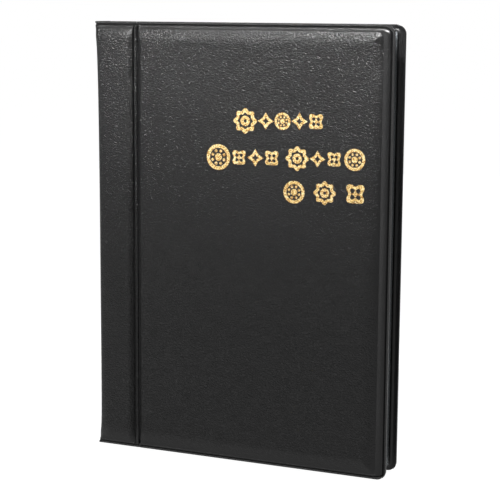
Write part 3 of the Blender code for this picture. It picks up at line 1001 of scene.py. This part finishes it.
def cut_fine(mesh, spacing):
    """Cut a flat mesh along a square grid, so that it can follow a curved surface."""
    builder = bmesh.new()
    builder.from_mesh(mesh)
    for axis, normal in ((0, (1, 0, 0)), (1, (0, 1, 0))):
        values = [vertex.co[axis] for vertex in builder.verts]
        position = min(values) + spacing
        while position < max(values):
            point = [position if index == axis else 0.0 for index in range(3)]
            everything = builder.verts[:] + builder.edges[:] + builder.faces[:]
            bmesh.ops.bisect_plane(builder, geom=everything, dist=1e-7, plane_co=point, plane_no=normal)
            position += spacing
    builder.to_mesh(mesh)
    builder.free()


def lay_on_skin(mesh, lift):
    """Move a mesh drawn in (across, up, thickness) on to the front skin."""
    count = len(mesh.vertices)
    flat = np.empty(count * 3)
    mesh.vertices.foreach_get("co", flat)
    across, up, thick = flat.reshape(-1, 3).T
    out = skin_out(across, up, SKIN_SEEDS[FRONT]) + lift + thick + FOIL_THICKNESS / 2
    placed = np.stack((to_x(across), -out, up), axis=-1)
    mesh.vertices.foreach_set("co", placed.ravel())
    mesh.update()


def make_foil(gold, rim_shade):
    """Three rows of gold ornament, each with a thin darker rim of painted shade where the stamp pressed it
    in.
    """
    for label, (row_height, motifs) in FOIL_ROWS.items():
        stamped = ((f"foil_rim_{label}", RIM_WIDTH, FOIL_LIFT - RIM_SET_BACK, rim_shade),
                   (f"foil_{label}", 0.0, FOIL_LIFT, gold))
        for name, grow, lift, material in stamped:
            mesh = foil_mesh(name, row_height, motifs, grow, lift)
            foil = add_piece(name, mesh, material)
            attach(foil, "front_cover")


# ------------------------------------------------------------
# Pieces that keep their CAD shape
# ------------------------------------------------------------
def finish_cad_nodes(materials):
    """Give the boards, foam and rivets their real finish."""
    for name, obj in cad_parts.items():
        for word, material in materials.items():
            if word in name:
                obj.data.materials.clear()
                obj.data.materials.append(material)


# ------------------------------------------------------------
# Stage, light and camera
# ------------------------------------------------------------
CAMERA_YAW = math.radians(23.6)      # to the right of the front cover's middle line
CAMERA_PITCH = math.radians(9.06)    # looking down
CAMERA_ROLL = math.radians(0.40)
CAMERA_DISTANCE = 0.615
CAMERA_LENS = 109.2                  # millimetres, on a sensor this wide
CAMERA_SENSOR = 36.0
AIM_ACROSS, AIM_UP = 70.4 * MM, 89.0 * MM


def make_stage():
    """A wide pale floor."""
    bpy.ops.mesh.primitive_plane_add(size=12.0, location=(0.0, 0.0, 0.0))
    floor = bpy.context.object
    floor.name = "floor"
    floor.data.materials.append(pale_floor("floor_white"))


def add_area_light(name, location, target, size, power, spread):
    """A rectangular soft light aimed at a point, its beam held to an angle by a grid."""
    data = bpy.data.lights.new(name, "AREA")
    data.shape = "RECTANGLE"
    data.size, data.size_y = size
    data.energy = power
    data.spread = math.radians(spread)
    light = bpy.data.objects.new(name, data)
    light.location = location
    light.visible_camera = False
    direction = Vector(target) - Vector(location)
    light.rotation_euler = direction.to_track_quat("-Z", "Y").to_euler()
    bpy.context.scene.collection.objects.link(light)


def make_surroundings():
    """A white backdrop all round, seen by the camera, that gives only a dim even light."""
    world = bpy.data.worlds.new("studio")
    bpy.context.scene.world = world
    world.use_nodes = True
    tree = world.node_tree
    dim = tree.nodes["Background"]
    dim.inputs["Color"].default_value = (1.0, 1.0, 1.0, 1.0)
    dim.inputs["Strength"].default_value = ROOM_LIGHT
    bright = tree.nodes.new("ShaderNodeBackground")
    bright.inputs["Color"].default_value = (1.0, 1.0, 1.0, 1.0)
    choose = tree.nodes.new("ShaderNodeMixShader")
    path = tree.nodes.new("ShaderNodeLightPath")
    tree.links.new(path.outputs["Is Camera Ray"], choose.inputs[0])
    tree.links.new(dim.outputs[0], choose.inputs[1])
    tree.links.new(bright.outputs[0], choose.inputs[2])
    tree.links.new(choose.outputs[0], tree.nodes["World Output"].inputs["Surface"])


def make_lights():
    """A narrow key over each cover's upper edge, and wide soft fills, in a dim white room."""
    make_surroundings()
    add_area_light("front_key", (0.005, -0.22, 0.40), (0.0, 0.0, 0.179), (0.36, 0.05), FRONT_KEY, 23.5)
    add_area_light("back_key", (-0.03, 0.26, 0.44), (0.0, 0.0, 0.165), (0.34, 0.12), BACK_KEY, 45.0)
    add_area_light("top_fill", (0.0, -0.25, 1.20), (0.0, 0.0, 0.10), (1.00, 0.80), TOP_FILL, 180.0)
    add_area_light("front_fill", (-0.50, -1.00, 0.10), (0.0, 0.0, 0.08), (0.90, 0.70), FRONT_FILL, 180.0)
    add_area_light("back_fill", (-0.35, 1.05, 0.10), (0.0, 0.0, 0.08), (0.90, 0.70), BACK_FILL, 180.0)
    bpy.context.scene.view_settings.view_transform = "Standard"
    bpy.context.scene.cycles.transparent_max_bounces = 64


def make_camera():
    """The camera: in front of the album, to its right, looking slightly down."""
    yaw, pitch, roll = CAMERA_YAW, CAMERA_PITCH, CAMERA_ROLL
    target = Vector((to_x(AIM_ACROSS), -FLANGE_OUT, AIM_UP))
    forward = Vector((-math.sin(yaw) * math.cos(pitch), math.cos(yaw) * math.cos(pitch), -math.sin(pitch)))
    right = Vector((math.cos(yaw), math.sin(yaw), 0.0))
    upward = right.cross(forward)
    rolled_right = math.cos(roll) * right + math.sin(roll) * upward
    rolled_up = math.cos(roll) * upward - math.sin(roll) * right
    data = bpy.data.cameras.new("camera")
    data.sensor_width = CAMERA_SENSOR
    data.lens = CAMERA_LENS
    data.clip_start = 0.01
    camera = bpy.data.objects.new("camera", data)
    rotation = Matrix((rolled_right, rolled_up, -forward)).transposed()
    camera.matrix_world = Matrix.Translation(target - forward * CAMERA_DISTANCE) @ rotation.to_4x4()
    bpy.context.scene.collection.objects.link(camera)
    bpy.context.scene.camera = camera


def main():
    """Build every piece, then the stage and the lights."""
    make_camera()
    skin = grained_vinyl("black_grained_vinyl", BLACK_SKIN, 0.30, SKIN_GRAIN)
    lining = grained_vinyl("black_lining_vinyl", BLACK_LINING, 0.38, LINING_GRAIN, 0.9, 0.7)
    film = clear_film("clear_page_film")
    weld = welded_film("welded_page_film")
    for label, side in (("front", FRONT), ("back", BACK)):
        make_skin(label, side, skin)
        make_lining(label, side, lining)
    for number in range(1, PAGE_COUNT + 1):
        make_page_film(number, film)
        make_page_pockets(number, film, weld)
    gold = gold_foil("gold_foil", GOLD, DEEP_GOLD, 0.24)
    # the foil's rim material: painted shade round the gold
    rim_shade = gold_foil("foil_shade_rim", RIM_SHADE, DEEP_RIM_SHADE, 0.35)
    make_foil(gold, rim_shade)
    finishes = {"board": greyboard("greyboard"), "foam": foam("foam"), "rivet": plated_steel("rivet_steel")}
    finish_cad_nodes(finishes)
    make_stage()
    make_lights()


main()
